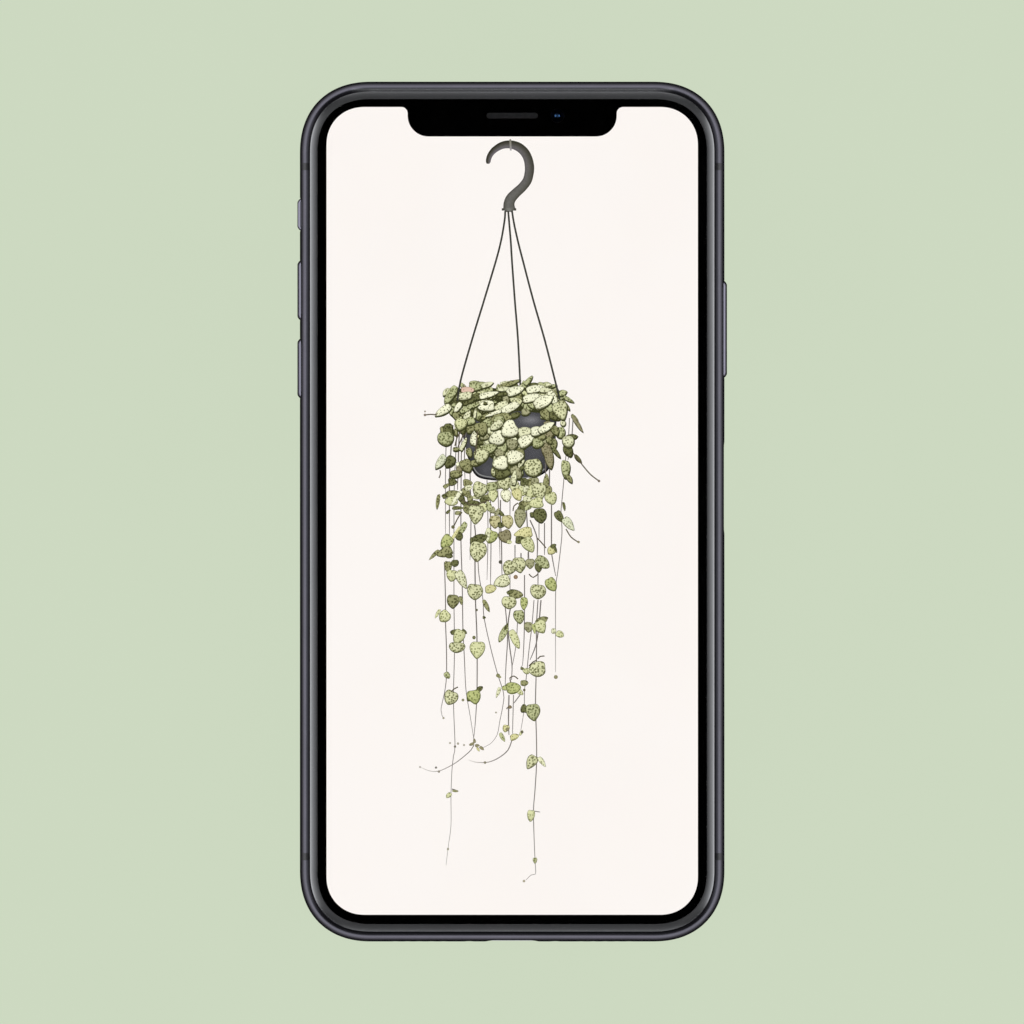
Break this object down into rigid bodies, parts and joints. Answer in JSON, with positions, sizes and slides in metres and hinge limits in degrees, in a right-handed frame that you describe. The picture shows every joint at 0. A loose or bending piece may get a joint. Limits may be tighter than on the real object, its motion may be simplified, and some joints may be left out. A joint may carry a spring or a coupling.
{
  "type": "smartphone",
  "caption": "Slim slab phone lying on its back: notched touch screen in a rounded metal band, glass back, side keys, mute lever and card tray.",
  "frame": {"origin": "middle of the back, on the surface that the phone lies on", "axes": "+X to the right of the screen, +Y to the top edge with the notch, +Z out of the screen"},
  "size_m": [0.0718, 0.1436, 0.0077],
  "materials": {
    "graphite_metal": "dark graphite coated metal, fine satin polish, paler where the light grazes it",
    "antenna_plastic": "dark grey moulded plastic, level with the metal",
    "polished_trim": "polished grey metal chamfer round the glass",
    "front_glass": "clear cover glass, glossy, faint wipe marks",
    "black_ink": "black ink printed under the cover glass",
    "display": "lit display: pale ground with a picture of a hanging trailing plant in a dark pot",
    "back_glass": "opaque dark glass, glossy",
    "dark_lens": "dark coated lens glass with a blue sheen",
    "flash_diffuser": "pale yellow ribbed diffuser",
    "steel": "bare stamped steel",
    "copper": "copper foil and flexible circuit",
    "battery_wrap": "black battery film",
    "board_green": "dark green circuit board",
    "black_plastic": "fine black moulded plastic",
    "card_white": "plain white card"
  },
  "bodies": {
    "phone": {"band_top": "graphite_metal", "band_bottom": "graphite_metal", "band_left": "graphite_metal", "band_right": "graphite_metal", "antenna_break_left_upper": "antenna_plastic", "antenna_break_left_lower": "antenna_plastic", "antenna_break_right_upper": "antenna_plastic", "antenna_break_right_lower": "antenna_plastic", "screen_ring": "polished_trim", "front_glass": "front_glass", "earpiece_mesh": "black_plastic", "screen_border": "black_ink", "display_panel": "display", "display_plate": "copper", "back_glass": "back_glass", "rear_window": "dark_lens", "rear_lens_upper": "dark_lens", "rear_lens_lower": "dark_lens", "flash_lens": "flash_diffuser", "rear_camera_upper": "black_plastic", "rear_camera_lower": "black_plastic", "camera_bracket": "steel", "front_camera": "black_plastic", "front_camera_lens": "dark_lens", "depth_camera": "black_plastic", "dot_projector": "black_plastic", "light_sensor": "black_plastic", "earpiece_speaker": "black_plastic", "sensor_bracket": "steel", "volume_up_key_switch": "black_plastic", "volume_down_key_switch": "black_plastic", "side_key_switch": "black_plastic", "mute_switch_contact": "black_plastic", "key_strip_left": "copper", "key_strip_right": "copper", "sim_reader": "steel", "middle_plate": "steel", "charging_coil": "copper", "battery_upper": "battery_wrap", "battery_lower": "battery_wrap", "battery_connector": "black_plastic", "logic_board": "board_green", "shield_lower": "steel", "shield_upper": "steel", "port_shell": "steel", "port_tongue": "black_plastic", "dock_board": "board_green", "loudspeaker": "black_plastic", "haptic_motor": "steel", "lower_microphone": "black_plastic", "case_screw_left": "steel", "case_screw_right": "steel"},
    "volume_up": {"volume_up_key": "graphite_metal"},
    "volume_down": {"volume_down_key": "graphite_metal"},
    "side_button": {"side_key": "graphite_metal"},
    "mute": {"mute_switch": "graphite_metal"},
    "card_tray": {"sim_tray": "graphite_metal", "sim_card": "card_white"}
  },
  "joints": [
    {"name": "volume_up_press", "type": "slide", "parent": "phone", "child": "volume_up", "axis": [1, 0, 0], "range_m": [0, 0.0003], "stiffness_N_per_m": 1500},
    {"name": "volume_down_press", "type": "slide", "parent": "phone", "child": "volume_down", "axis": [1, 0, 0], "range_m": [0, 0.0003], "stiffness_N_per_m": 1500},
    {"name": "side_press", "type": "slide", "parent": "phone", "child": "side_button", "axis": [-1, 0, 0], "range_m": [0, 0.0003], "stiffness_N_per_m": 1500},
    {"name": "mute_slide", "type": "slide", "parent": "phone", "child": "mute", "axis": [0, 0, -1], "range_m": [0, 0.0011]},
    {"name": "card_tray_slide", "type": "slide", "parent": "phone", "child": "card_tray", "axis": [1, 0, 0], "range_m": [0, 0.012]}
  ]
}
